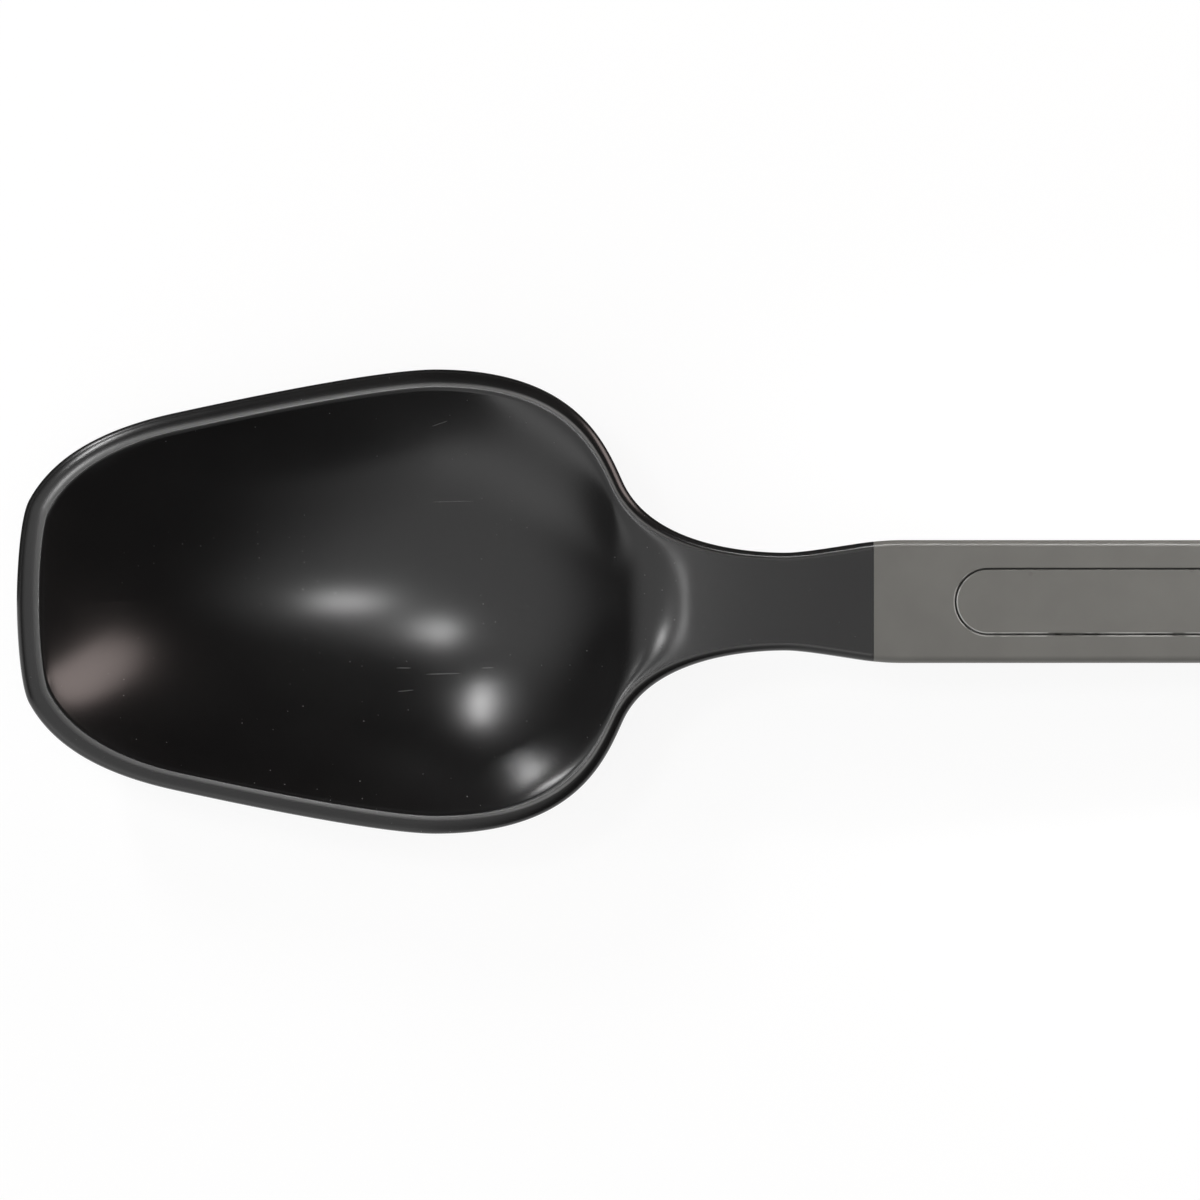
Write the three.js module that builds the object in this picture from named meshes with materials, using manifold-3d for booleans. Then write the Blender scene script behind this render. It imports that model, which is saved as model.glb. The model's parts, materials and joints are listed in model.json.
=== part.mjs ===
// A long-handled serving spoon: a black moulded head with its tang, and a grey grip with an inlaid strip.
// Millimetres. The pieces are drawn with X running from the tip of the bowl to the end of the grip, Y across,
// and Z = 0 on the level top of the neck and grip. The whole spoon is then laid down as it rests on a table.

import * as THREE from 'three';
import { mergeVertices } from 'three/addons/utils/BufferGeometryUtils.js';
import Module from 'manifold-3d';

const wasm = await Module();
wasm.setup();

// Outline seen from above: lengths run on from the one before, widths are full widths
const tipBow = 1.9;
const tipEdgeWidth = 31.4;
const cornerLength = 22.4;
const cornerWidth = 58.4;
const sideLength = 40.6;
const bowlWidth = 72;
const shoulderLength = 29;
const shoulderWidth = 37.2;
const neckLength = 25.2;
const waistWidth = 15.2;
const flareLength = 13.7;
const seamWidth = 18.6;
const rampLength = 5.2;
const gripWidth = 19.1;
const gripLength = 207.2;
const gripEndCorner = 7;

// Bowl and neck
const bowlDepth = 19.5;
const deepestFromTip = 52;
const tipDrop = 4;
const bowlWall = 2.4;
const backRise = 10.7;
const underRise = 3;
const tipFloorAngle = 42;
const tipUnderAngle = 38;
const backAngle = 43;
const lipRadius = 15;
const neckBlend = 16;
const neckThickness = 7.5;
const rimAtTip = 3.3;
const rimAtSide = 2.7;
const rimBand = 0.4;
const rimRound = 0.8;

// Grip, inlay, tang and pins
const gripThickness = 10;
const edgeRound = 1.2;
const inlayWidth = 9.9;
const inlayLength = 150;
const inlayThickness = 2;
const inlayRound = 0.3;
const inlayFromSeam = 12.9;
const pocketWeb = 1.2;
const tangWidth = 11;
const tangThickness = 3.4;
const tangLength = 150;
const tangEndRound = 3;
const pinRadius = 1.6;
const pinFromSeam = 32;
const pinFromTangEnd = 28;
const pinSkin = 1;
const slotWidth = 6.5;
const slotLength = 14;
const slotFromEnd = 8;
const fitGap = 0.3;

// Places along X that follow from the lengths
const sideX = tipBow + cornerLength;
const widestX = sideX + sideLength;
const shoulderX = widestX + shoulderLength;
const waistX = shoulderX + neckLength;
const seamX = waistX + flareLength;
const gripX = seamX + rampLength;
const gripEndX = seamX + gripLength;
const backX = shoulderX + backRise;
const underBackX = backX + underRise;

// Levels along Z that follow from the thicknesses
const pocketFloor = -(inlayThickness + fitGap);
const tangTop = pocketFloor - pocketWeb - fitGap;
const tangBottom = tangTop - tangThickness;
const pinHoleFloor = pinSkin - gripThickness;

// Shares that shape the curves
const rimHeightShare = 0.6;
const innerRoundShare = 0.75;
const outerRoundShare = 0.6;
const fanShare = 0.3;

// Steps of the surfaces
const flareSteps = 5;
const runSteps = [5, 10, 11, 12, 11, flareSteps];
const tableSteps = 160;
const rimSteps = 4;
const innerRoundSteps = 3;
const floorSteps = 8;
const underSteps = 9;
const restSteps = 200;
const roundSegments = 24;
const cutReach = 20;

// One side of the outline. The tangent at each station reaches back and ahead by a share of the run there.
const stations = [
  { x: 0, y: 0, heading: 90, back: 0, ahead: 0.235 },
  { x: tipBow, y: tipEdgeWidth / 2, heading: 61.6, back: 0.2, ahead: 0.305 },
  { x: sideX, y: cornerWidth / 2, heading: 12.4, back: 0.42, ahead: 0.2 },
  { x: widestX, y: bowlWidth / 2, heading: 0, back: 0.22, ahead: 0.64 },
  { x: shoulderX, y: shoulderWidth / 2, heading: -65.8, back: 0.2, ahead: 0.378 },
  { x: waistX, y: waistWidth / 2, heading: 0, back: 0.25, ahead: 0.26 },
  { x: seamX, y: seamWidth / 2, heading: 5.8, back: 0.2, ahead: 0.4 },
  { x: gripX, y: gripWidth / 2, heading: 0, back: 0.4, ahead: 0 },
];

// The bowl's floor on the spoon's middle line, as a depth under the crest, with a round lip at the neck
const lipTurn = THREE.MathUtils.degToRad(backAngle);
const lipX = backX - lipRadius * Math.sin(lipTurn);
const lipDepth = lipRadius * (1 - Math.cos(lipTurn));
const lipReach = (2 / 3) * (Math.tan(lipTurn / 4) / Math.sin(lipTurn / 2));
const floorStations = [
  { x: rimAtTip, y: 0, heading: tipFloorAngle, back: 0, ahead: 0.35 },
  { x: deepestFromTip, y: bowlDepth, heading: 0, back: 0.38, ahead: 0.46 },
  { x: lipX, y: lipDepth, heading: -backAngle, back: 0.3, ahead: lipReach },
  { x: backX, y: 0, heading: 0, back: lipReach, ahead: 0 },
];

// The bowl's underside on the same line
const underStations = [
  { x: 0, y: rimAtTip * rimHeightShare + rimBand, heading: tipUnderAngle, back: 0, ahead: 0.38 },
  { x: deepestFromTip, y: bowlDepth + bowlWall, heading: 0, back: 0.37, ahead: 0.55 },
  { x: underBackX, y: neckThickness, heading: 0, back: 0.35, ahead: 0 },
];

const clamp = THREE.MathUtils.clamp;
const lerp = THREE.MathUtils.lerp;
const smoothstep = THREE.MathUtils.smoothstep;

function headingVector(station) {
  const angle = THREE.MathUtils.degToRad(station.heading);
  return new THREE.Vector2(Math.cos(angle), Math.sin(angle));
}

function outlineRun(from, to) {
  const start = new THREE.Vector2(from.x, from.y);
  const end = new THREE.Vector2(to.x, to.y);
  const span = start.distanceTo(end);
  const leave = headingVector(from).multiplyScalar(span * from.ahead).add(start);
  const arrive = headingVector(to).multiplyScalar(-span * to.back).add(end);
  return new THREE.CubicBezierCurve(start, leave, arrive, end);
}

function runsThrough(list) {
  return list.slice(1).map((station, index) => outlineRun(list[index], station));
}

const runs = runsThrough(stations);
const headRuns = runs.slice(0, -1);
const flareRun = runs[runs.length - 2];
const rampRun = runs[runs.length - 1];

// Width of the rim, from its outer edge to its crest, which becomes the rounded edge of the neck
function rimWidth(x) {
  const bowlRim = lerp(rimAtTip, rimAtSide, smoothstep(x, 0, sideX));
  return lerp(bowlRim, edgeRound, smoothstep(x, widestX, waistX));
}

// 0 on the bowl, 1 on the neck
function neckShare(x) {
  return smoothstep(x, shoulderX - neckBlend, shoulderX + neckBlend);
}

function rimHeight(x) {
  return rimWidth(x) * lerp(rimHeightShare, 1, neckShare(x));
}

// Level of the crest, which falls gently from the neck to the tip
function crestLevel(x) {
  return -tipDrop * Math.max(0, 1 - x / waistX) ** 2;
}

function thicknessAt(x) {
  return lerp(neckThickness, gripThickness, smoothstep(x, waistX, seamX));
}

// Height of the upright band under the rim, which grows into the side of the neck
function bandHeight(x) {
  return lerp(rimBand, thicknessAt(x) - 2 * edgeRound, neckShare(x));
}

function bandFoot(x) {
  return crestLevel(x) - rimHeight(x) - bandHeight(x);
}

// The height of a curve over X, read off a table of its points
function readOff(table, x) {
  const next = table.findIndex((point) => point.x > x);
  if (next < 0) {
    return table[table.length - 1].y;
  }
  if (next === 0) {
    return table[0].y;
  }
  const [a, b] = [table[next - 1], table[next]];
  return lerp(a.y, b.y, (x - a.x) / (b.x - a.x));
}

const floorTable = runsThrough(floorStations).flatMap((run) => run.getPoints(tableSteps));
const underTable = runsThrough(underStations).flatMap((run) => run.getPoints(tableSteps));

// Level of the underside on the spoon's middle line
function undersideLevel(x) {
  const depth = x < underBackX ? readOff(underTable, x) : thicknessAt(x);
  return crestLevel(x) - depth;
}

// Section of a bowl: 1 in the middle, 0 at the edge
function bowlSection(share, roundShare) {
  const square = Math.min(1, share * share);
  return Math.max(0, 1 - roundShare * square - (1 - roundShare) * square * square);
}

// Height of a quarter round, as a share, at a share of its width
function quarterRound(share) {
  return Math.sqrt(1 - (1 - clamp(share, 0, 1)) ** 2);
}

// A point of the outline, with the direction that leads straight in from its edge
function edgePoint(run, t) {
  const point = run.getPoint(t);
  const along = run.getTangent(t);
  const inward = run === flareRun ? new THREE.Vector2(0, -1) : new THREE.Vector2(along.y, -along.x);
  return { point, inward };
}

function crestPoint({ point, inward }) {
  return inward.clone().multiplyScalar(rimWidth(point.x)).add(point);
}

// Points of the outline and of the crest, whose half widths are read off over X
const edgeTable = [];
const crestTable = [];
for (const run of headRuns) {
  for (let step = 0; step < tableSteps; step += 1) {
    const edge = edgePoint(run, step / tableSteps);
    edgeTable.push(edge.point);
    crestTable.push(crestPoint(edge));
  }
}

function innerLevel(point, levelX) {
  const half = readOff(crestTable, point.x);
  const share = half > 0 ? Math.abs(point.y) / half : 1;
  const ease = 1 + smoothstep(point.x, widestX, backX);
  return crestLevel(levelX) - readOff(floorTable, point.x) * bowlSection(share, innerRoundShare) ** ease;
}

function outerLevel(point, fromEdge) {
  const share = Math.abs(point.y) / Math.max(readOff(edgeTable, point.x), Number.EPSILON);
  const foot = bandFoot(point.x);
  const depth = foot - undersideLevel(point.x);
  const bowl = bowlSection(share, outerRoundShare);
  return foot - depth * lerp(bowl, quarterRound(fromEdge / edgeRound), neckShare(point.x));
}

// One line round the head's section, from the middle of its top, over the rim, to the middle of its underside
function sectionLine(edge, spineX) {
  const spine = new THREE.Vector2(spineX, 0);
  const crest = crestPoint(edge);
  const rim = rimWidth(edge.point.x);
  const reach = crest.distanceTo(spine);
  const towards = spine.clone().sub(crest).normalize();
  const line = [];

  const inner = [];
  for (let step = 1; step <= innerRoundSteps; step += 1) {
    inner.push((rimRound * step) / innerRoundSteps);
  }
  for (let step = 1; step <= floorSteps; step += 1) {
    inner.push(lerp(rimRound, reach, step / floorSteps));
  }
  for (const distance of inner.reverse()) {
    const shift = 0.5 * rimRound * (1 - distance / reach);
    const eased = distance < rimRound ? (0.5 * distance * distance) / rimRound : distance - shift;
    const point = towards.clone().multiplyScalar(distance).add(crest);
    const source = towards.clone().multiplyScalar(Math.min(eased, reach)).add(crest);
    line.push(new THREE.Vector3(point.x, point.y, innerLevel(source, point.x)));
  }

  for (let step = rimSteps; step >= 0; step -= 1) {
    const fromEdge = rim * (1 - Math.cos((step / rimSteps) * Math.PI * 0.5));
    const point = edge.inward.clone().multiplyScalar(fromEdge).add(edge.point);
    const height = rimHeight(edge.point.x) * (quarterRound(fromEdge / rim) - 1);
    line.push(new THREE.Vector3(point.x, point.y, crestLevel(point.x) + height));
  }

  const span = edge.point.distanceTo(spine);
  const across = spine.clone().sub(edge.point).normalize();
  for (let step = 0; step <= rimSteps; step += 1) {
    const fromEdge = edgeRound * (1 - Math.cos((step / rimSteps) * Math.PI * 0.5));
    const point = across.clone().multiplyScalar(fromEdge).add(edge.point);
    line.push(new THREE.Vector3(point.x, point.y, outerLevel(point, fromEdge)));
  }
  for (let step = 1; step <= underSteps; step += 1) {
    const fromEdge = lerp(edgeRound, span, step / underSteps);
    const point = across.clone().multiplyScalar(fromEdge).add(edge.point);
    line.push(new THREE.Vector3(point.x, point.y, outerLevel(point, fromEdge)));
  }
  return line;
}

// Edge points of one side, from the tip to the seam, each with the place on the middle line it is joined to
function headEdges() {
  const edges = [];
  headRuns.forEach((run, index) => {
    const first = index === 0 ? 0 : 1;
    for (let step = first; step <= runSteps[index]; step += 1) {
      edges.push(edgePoint(run, step / runSteps[index]));
    }
  });
  const widest = edges.findIndex(({ point }) => point.x >= widestX);
  const fanX = deepestFromTip * fanShare;
  return edges.map((edge, index) => {
    const spineX = index < widest ? lerp(fanX, widestX, index / widest) : edge.point.x;
    return { edge, spineX };
  });
}

function surface(positions, indices) {
  const geometry = new THREE.BufferGeometry();
  geometry.setAttribute('position', new THREE.Float32BufferAttribute(positions, 3));
  geometry.setIndex(indices);
  return geometry;
}

// The bowl and neck as one closed surface, capped at the seam
function headShell() {
  const side = headEdges().map(({ edge, spineX }) => sectionLine(edge, spineX));
  const mirror = (line) => line.map((point) => new THREE.Vector3(point.x, -point.y, point.z));
  const lines = [...side.slice(1).reverse().map(mirror), ...side];
  const count = side[0].length;
  const positions = lines.flat().flatMap((point) => point.toArray());
  const indices = [];
  for (let row = 0; row + 1 < lines.length; row += 1) {
    for (let column = 0; column + 1 < count; column += 1) {
      const a = row * count + column;
      const b = a + count;
      indices.push(a, b, a + 1, b, b + 1, a + 1);
    }
  }
  const centre = positions.length / 3;
  const last = (lines.length - 1) * count;
  positions.push(seamX, 0, -gripThickness / 2);
  for (let column = 0; column + 1 < count; column += 1) {
    indices.push(centre, column, column + 1);
    indices.push(centre, last + column + 1, last + column);
  }
  return surface(positions, indices);
}

function solidOf(geometry) {
  const bare = new THREE.BufferGeometry();
  bare.setAttribute('position', geometry.getAttribute('position'));
  bare.setIndex(geometry.getIndex());
  const merged = mergeVertices(bare);
  const corners = merged.getIndex().array;
  const kept = [];
  for (let i = 0; i < corners.length; i += 3) {
    const [a, b, c] = corners.slice(i, i + 3);
    if (a !== b && b !== c && c !== a) {
      kept.push(a, b, c);
    }
  }
  const vertProperties = Float32Array.from(merged.getAttribute('position').array);
  return new wasm.Manifold(new wasm.Mesh({ numProp: 3, vertProperties, triVerts: Uint32Array.from(kept) }));
}

function geometryOf(solid) {
  const mesh = solid.getMesh();
  return surface(Array.from(mesh.vertProperties), Array.from(mesh.triVerts));
}

// A slab of an outline between two levels, with its upper and lower edges rounded if asked
function slab(shape, bottom, top, round = 0) {
  const geometry = new THREE.ExtrudeGeometry(shape, {
    depth: top - bottom - 2 * round,
    curveSegments: roundSegments / 2,
    bevelEnabled: round > 0,
    bevelThickness: round,
    bevelSize: round,
    bevelOffset: -round,
    bevelSegments: rimSteps,
  });
  geometry.translate(0, 0, bottom + round);
  return solidOf(geometry);
}

// A strip along X with round ends
function stadium(fromX, length, width) {
  const radius = width / 2;
  const shape = new THREE.Shape();
  shape.absarc(fromX + length - radius, 0, radius, -Math.PI / 2, Math.PI / 2);
  shape.absarc(fromX + radius, 0, radius, Math.PI / 2, Math.PI * 1.5);
  return shape;
}

function box(fromX, toX, width, bottom, top) {
  const shape = new THREE.Shape();
  shape.moveTo(fromX, -width / 2);
  shape.lineTo(toX, -width / 2);
  shape.lineTo(toX, width / 2);
  shape.lineTo(fromX, width / 2);
  return slab(shape, bottom, top);
}

function rod(x, radius, bottom, top) {
  const geometry = new THREE.CylinderGeometry(radius, radius, top - bottom, roundSegments);
  geometry.rotateX(Math.PI / 2);
  geometry.translate(x, 0, (top + bottom) / 2);
  return solidOf(geometry);
}

// The tang's outline, grown by a gap for the socket that holds it
function tangOutline(gap) {
  const half = tangWidth / 2 + gap;
  const end = seamX + tangLength + gap;
  const round = tangEndRound + gap;
  const shape = new THREE.Shape();
  shape.moveTo(seamX - edgeRound, -half);
  shape.lineTo(end - round, -half);
  shape.absarc(end - round, round - half, round, -Math.PI / 2, 0);
  shape.absarc(end - round, half - round, round, 0, Math.PI / 2);
  shape.lineTo(seamX - edgeRound, half);
  return shape;
}

// The grip's outline, which follows the neck's own curve up to the seam and past it
function gripOutline() {
  const half = gripWidth / 2;
  const upper = [...flareRun.getPoints(flareSteps), ...rampRun.getPoints(flareSteps).slice(1)];
  const lower = upper.map((point) => new THREE.Vector2(point.x, -point.y));
  const shape = new THREE.Shape(lower);
  shape.lineTo(gripEndX - gripEndCorner, -half);
  shape.absarc(gripEndX - gripEndCorner, gripEndCorner - half, gripEndCorner, -Math.PI / 2, 0);
  shape.absarc(gripEndX - gripEndCorner, half - gripEndCorner, gripEndCorner, 0, Math.PI / 2);
  upper.reverse().forEach((point) => shape.lineTo(point.x, point.y));
  return shape;
}

const pinPlaces = {
  tang_pin_front: seamX + pinFromSeam,
  tang_pin_rear: seamX + tangLength - pinFromTangEnd,
};
const inlayX = seamX + inlayFromSeam;

function spoonHead() {
  let head = solidOf(headShell()).add(slab(tangOutline(0), tangBottom, tangTop));
  for (const x of Object.values(pinPlaces)) {
    head = head.subtract(rod(x, pinRadius + fitGap, tangBottom - fitGap, tangTop + fitGap));
  }
  return head;
}

function gripSleeve() {
  const pocket = stadium(inlayX - fitGap, inlayLength + 2 * fitGap, inlayWidth + 2 * fitGap);
  const slot = stadium(gripEndX - slotFromEnd - slotLength, slotLength, slotWidth);
  const below = -gripThickness - cutReach;
  let sleeve = slab(gripOutline(), -gripThickness, 0, edgeRound)
    .subtract(box(waistX - cutReach, seamX + fitGap, gripWidth + cutReach, below, cutReach))
    .subtract(slab(tangOutline(fitGap), tangBottom - fitGap, tangTop + fitGap))
    .subtract(slab(pocket, pocketFloor, cutReach))
    .subtract(slab(slot, below, cutReach));
  for (const x of Object.values(pinPlaces)) {
    sleeve = sleeve.subtract(rod(x, pinRadius + fitGap, pinHoleFloor, cutReach));
  }
  return sleeve;
}

function gripInlay() {
  const edged = slab(stadium(inlayX, inlayLength, inlayWidth), -inlayThickness - inlayRound, 0, inlayRound);
  const keep = box(inlayX - cutReach, gripEndX, gripWidth, -inlayThickness, cutReach);
  return edged.intersect(keep);
}

function tangPin(x) {
  return rod(x, pinRadius, pinHoleFloor + fitGap, pocketFloor);
}

const blackNylon = new THREE.MeshStandardMaterial({ color: 0x1c1b1c, roughness: 0.35, metalness: 0 });
const greyGrip = new THREE.MeshStandardMaterial({ color: 0x6d6c68, roughness: 0.6, metalness: 0 });
const pinSteel = new THREE.MeshStandardMaterial({ color: 0x9a9b9c, roughness: 0.35, metalness: 1 });

const laid = new THREE.Group();

function addPiece(name, solid, material) {
  const mesh = new THREE.Mesh(geometryOf(solid), material);
  mesh.name = name;
  laid.add(mesh);
}

addPiece('spoon_head', spoonHead(), blackNylon);
addPiece('grip_sleeve', gripSleeve(), greyGrip);
addPiece('grip_inlay', gripInlay(), greyGrip);
for (const [name, x] of Object.entries(pinPlaces)) {
  addPiece(name, tangPin(x), pinSteel);
}

// The spoon lies on its bowl and on the end of its grip, so it leans by the line that touches both from below
function restTilt() {
  const heelX = gripEndX - edgeRound;
  let tilt = 0;
  for (let step = 0; step <= restSteps; step += 1) {
    const x = (backX * step) / restSteps;
    tilt = Math.max(tilt, Math.atan2(-gripThickness - undersideLevel(x), heelX - x));
  }
  return tilt;
}

laid.rotation.y = restTilt();
const bounds = new THREE.Box3().setFromObject(laid, true);
const middle = bounds.getCenter(new THREE.Vector3());
laid.position.set(-middle.x, -middle.y, -bounds.min.z);

const spoon = new THREE.Group();
spoon.add(laid);

export default spoon;
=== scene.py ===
# A long-handled serving spoon: a satin black head with its tang, and a matt grey grip with an inlaid strip.
# The pieces are drawn in millimetres, with X running from the tip of the bowl to the end of the grip,
# Y across, and Z = 0 on the level top of the neck and grip. They are then laid where the frame has them,
# in metres.

import json
import math
from collections import namedtuple

import bmesh
import bpy
import numpy as np
from mathutils import Matrix, Quaternion, Vector


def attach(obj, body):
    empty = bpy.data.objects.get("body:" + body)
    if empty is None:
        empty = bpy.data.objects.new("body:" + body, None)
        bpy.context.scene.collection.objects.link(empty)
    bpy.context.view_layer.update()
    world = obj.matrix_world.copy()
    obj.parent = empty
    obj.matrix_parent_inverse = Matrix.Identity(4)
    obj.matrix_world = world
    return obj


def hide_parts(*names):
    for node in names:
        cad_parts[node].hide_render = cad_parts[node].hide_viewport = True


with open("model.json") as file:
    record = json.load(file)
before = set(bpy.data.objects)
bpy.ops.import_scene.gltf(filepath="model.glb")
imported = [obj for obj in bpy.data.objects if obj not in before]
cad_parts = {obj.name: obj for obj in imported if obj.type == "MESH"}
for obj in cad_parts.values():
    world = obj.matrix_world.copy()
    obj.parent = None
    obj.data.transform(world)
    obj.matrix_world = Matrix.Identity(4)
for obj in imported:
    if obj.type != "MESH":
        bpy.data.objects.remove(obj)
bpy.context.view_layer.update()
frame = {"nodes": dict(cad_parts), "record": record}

MM = 0.001
TINY = 1e-9
MERGE_WITHIN = 1e-4

# Outline seen from above: lengths run on from the one before, widths are full widths
TIP_BOW = 1.9
TIP_EDGE_WIDTH = 31.4
CORNER_LENGTH = 22.4
CORNER_WIDTH = 58.4
SIDE_LENGTH = 40.6
BOWL_WIDTH = 72
SHOULDER_LENGTH = 29
SHOULDER_WIDTH = 37.2
NECK_LENGTH = 25.2
WAIST_WIDTH = 15.2
FLARE_LENGTH = 13.7
SEAM_WIDTH = 18.6
RAMP_LENGTH = 5.2
GRIP_WIDTH = 19.1
GRIP_LENGTH = 207.2
GRIP_END_CORNER = 7

# Bowl and neck
BOWL_DEPTH = 19.5
DEEPEST_X = 52
TIP_DROP = 4
BOWL_WALL = 2.4
BACK_RISE = 10.7
UNDER_RISE = 3
TIP_FLOOR_ANGLE = 42
TIP_UNDER_ANGLE = 38
BACK_ANGLE = 43
LIP_RADIUS = 15
NECK_BLEND = 16
NECK_THICKNESS = 7.5
RIM_AT_TIP = 3.3
RIM_AT_SIDE = 2.7
RIM_BAND = 0.4
RIM_ROUND = 0.8
RIM_HEIGHT_SHARE = 0.6
INNER_ROUND_SHARE = 0.75
OUTER_ROUND_SHARE = 0.6
FAN_SHARE = 0.3
FAN_EASE = 1.5

# Grip, inlay, tang and pins
GRIP_THICKNESS = 10
EDGE_ROUND = 1.2
INLAY_WIDTH = 9.9
INLAY_LENGTH = 150
INLAY_THICKNESS = 2
INLAY_FROM_SEAM = 12.9
POCKET_WEB = 1.2
TANG_WIDTH = 11
TANG_THICKNESS = 3.4
TANG_LENGTH = 150
TANG_END_ROUND = 3
PIN_RADIUS = 1.6
PIN_FROM_SEAM = 32
PIN_FROM_TANG_END = 28
PIN_SKIN = 1
SLOT_WIDTH = 6.5
SLOT_LENGTH = 14
SLOT_FROM_END = 8
FIT_GAP = 0.3
SEAM_HAIR = 0.03
SLOT_LIP = 0.6
CUT_REACH = 20
CUT_LEAD = 0.02
HOLE_OVERRUN = 1

# Lips of the groove round the inlay: least radius, what side and front add, and how the side varies
LIP_LEAST = 0.06
LIP_SIDE = 0.1
LIP_FRONT = 0.1
LIP_WAVE = 0.07
LIP_WAVES = ((0.53, 0.6), (0.21, 2.1))
LIP_SIDE_REACH = (-2.0, 3.0)
LIP_FRONT_REACH = (4.0, 1.0)

# Places and levels that follow from the sizes
SIDE_X = TIP_BOW + CORNER_LENGTH
WIDEST_X = SIDE_X + SIDE_LENGTH
SHOULDER_X = WIDEST_X + SHOULDER_LENGTH
WAIST_X = SHOULDER_X + NECK_LENGTH
SEAM_X = WAIST_X + FLARE_LENGTH
GRIP_X = SEAM_X + RAMP_LENGTH
GRIP_END_X = SEAM_X + GRIP_LENGTH
BACK_X = SHOULDER_X + BACK_RISE
UNDER_BACK_X = BACK_X + UNDER_RISE
INLAY_X = SEAM_X + INLAY_FROM_SEAM
SLOT_X = GRIP_END_X - SLOT_FROM_END - SLOT_LENGTH
PIN_XS = (SEAM_X + PIN_FROM_SEAM, SEAM_X + TANG_LENGTH - PIN_FROM_TANG_END)
POCKET_FLOOR = -(INLAY_THICKNESS + FIT_GAP)
TANG_TOP = POCKET_FLOOR - POCKET_WEB - FIT_GAP
TANG_BOTTOM = TANG_TOP - TANG_THICKNESS
PIN_HOLE_FLOOR = PIN_SKIN - GRIP_THICKNESS

# Steps of the surfaces
RUN_STEPS = (26, 46, 54, 64, 48, 18)
FLARE_RUN = 5
FLOOR_STEPS = 52
INNER_ROUND_STEPS = 8
RIM_STEPS = 12
UNDER_STEPS = 34
EDGE_STEPS = 12
ARC_STEPS = 48
LIP_STEPS = 6
STRIP_STEP = 1.5

# Reach of the painted highlight, a pale line painted along the crest of the rim
CREST_HIGHLIGHT_SHIFT = 0.15
CREST_HIGHLIGHT_INSIDE = 0.12
CREST_HIGHLIGHT_OUTSIDE = 0.19
CREST_HIGHLIGHT_NECK_LOSS = 0.85

# A curve runs through stations. Its tangent at each reaches back and ahead by a share of the run there.
Station = namedtuple("Station", "x y heading back ahead")

OUTLINE = (
    Station(0, 0, 90, 0, 0.235),
    Station(TIP_BOW, TIP_EDGE_WIDTH / 2, 61.6, 0.2, 0.305),
    Station(SIDE_X, CORNER_WIDTH / 2, 12.4, 0.42, 0.2),
    Station(WIDEST_X, BOWL_WIDTH / 2, 0, 0.22, 0.64),
    Station(SHOULDER_X, SHOULDER_WIDTH / 2, -65.8, 0.2, 0.378),
    Station(WAIST_X, WAIST_WIDTH / 2, 0, 0.25, 0.26),
    Station(SEAM_X, SEAM_WIDTH / 2, 5.8, 0.2, 0.4),
    Station(GRIP_X, GRIP_WIDTH / 2, 0, 0.4, 0),
)

# Depths of the bowl's floor and underside under the crest, on the spoon's middle line
LIP_TURN = math.radians(BACK_ANGLE)
LIP_REACH = (2 / 3) * math.tan(LIP_TURN / 4) / math.sin(LIP_TURN / 2)
LIP_X = BACK_X - LIP_RADIUS * math.sin(LIP_TURN)
LIP_DEPTH = LIP_RADIUS * (1 - math.cos(LIP_TURN))
FLOOR = (
    Station(RIM_AT_TIP, 0, TIP_FLOOR_ANGLE, 0, 0.35),
    Station(DEEPEST_X, BOWL_DEPTH, 0, 0.38, 0.46),
    Station(LIP_X, LIP_DEPTH, -BACK_ANGLE, 0.3, LIP_REACH),
    Station(BACK_X, 0, 0, LIP_REACH, 0),
)
UNDERSIDE = (
    Station(0, RIM_AT_TIP * RIM_HEIGHT_SHARE + RIM_BAND, TIP_UNDER_ANGLE, 0, 0.38),
    Station(DEEPEST_X, BOWL_DEPTH + BOWL_WALL, 0, 0.37, 0.55),
    Station(UNDER_BACK_X, NECK_THICKNESS, 0, 0.35, 0),
)


def mix(a, b, share):
    return a + (b - a) * share


def smoothstep(value, low, high):
    share = np.clip((value - low) / (high - low), 0, 1)
    return share * share * (3 - 2 * share)


def heading_vector(degrees):
    angle = math.radians(degrees)
    return np.array((math.cos(angle), math.sin(angle)))


def run_curve(start, end, steps):
    """Points and unit tangents along the run between two stations."""
    a = np.array((start.x, start.y), float)
    d = np.array((end.x, end.y), float)
    span = np.linalg.norm(d - a)
    b = a + span * start.ahead * heading_vector(start.heading)
    c = d - span * end.back * heading_vector(end.heading)
    t = np.linspace(0, 1, steps + 1)[:, None]
    s = 1 - t
    points = s**3 * a + 3 * s**2 * t * b + 3 * s * t**2 * c + t**3 * d
    tangents = s**2 * (b - a) + 2 * s * t * (c - b) + t**2 * (d - c)
    return points, tangents / np.linalg.norm(tangents, axis=1, keepdims=True)


def curve_through(stations, steps):
    """Points and inward directions along all the runs of a curve, each joint once."""
    points, inward = [], []
    for index, count in enumerate(steps):
        run_points, tangents = run_curve(stations[index], stations[index + 1], count)
        turned = np.column_stack((tangents[:, 1], -tangents[:, 0]))
        first = 0 if index == 0 else 1
        points.append(run_points[first:])
        inward.append(turned[first:])
    return np.vstack(points), np.vstack(inward)


def rim_width(x):
    bowl_rim = mix(RIM_AT_TIP, RIM_AT_SIDE, smoothstep(x, 0, SIDE_X))
    return mix(bowl_rim, EDGE_ROUND, smoothstep(x, WIDEST_X, WAIST_X))


def neck_share(x):
    """0 on the bowl, 1 on the neck."""
    return smoothstep(x, SHOULDER_X - NECK_BLEND, SHOULDER_X + NECK_BLEND)


def rim_height(x):
    return rim_width(x) * mix(RIM_HEIGHT_SHARE, 1, neck_share(x))


def crest_level(x):
    return -TIP_DROP * np.maximum(0, 1 - x / WAIST_X) ** 2


def thickness_at(x):
    return mix(NECK_THICKNESS, GRIP_THICKNESS, smoothstep(x, WAIST_X, SEAM_X))


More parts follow.
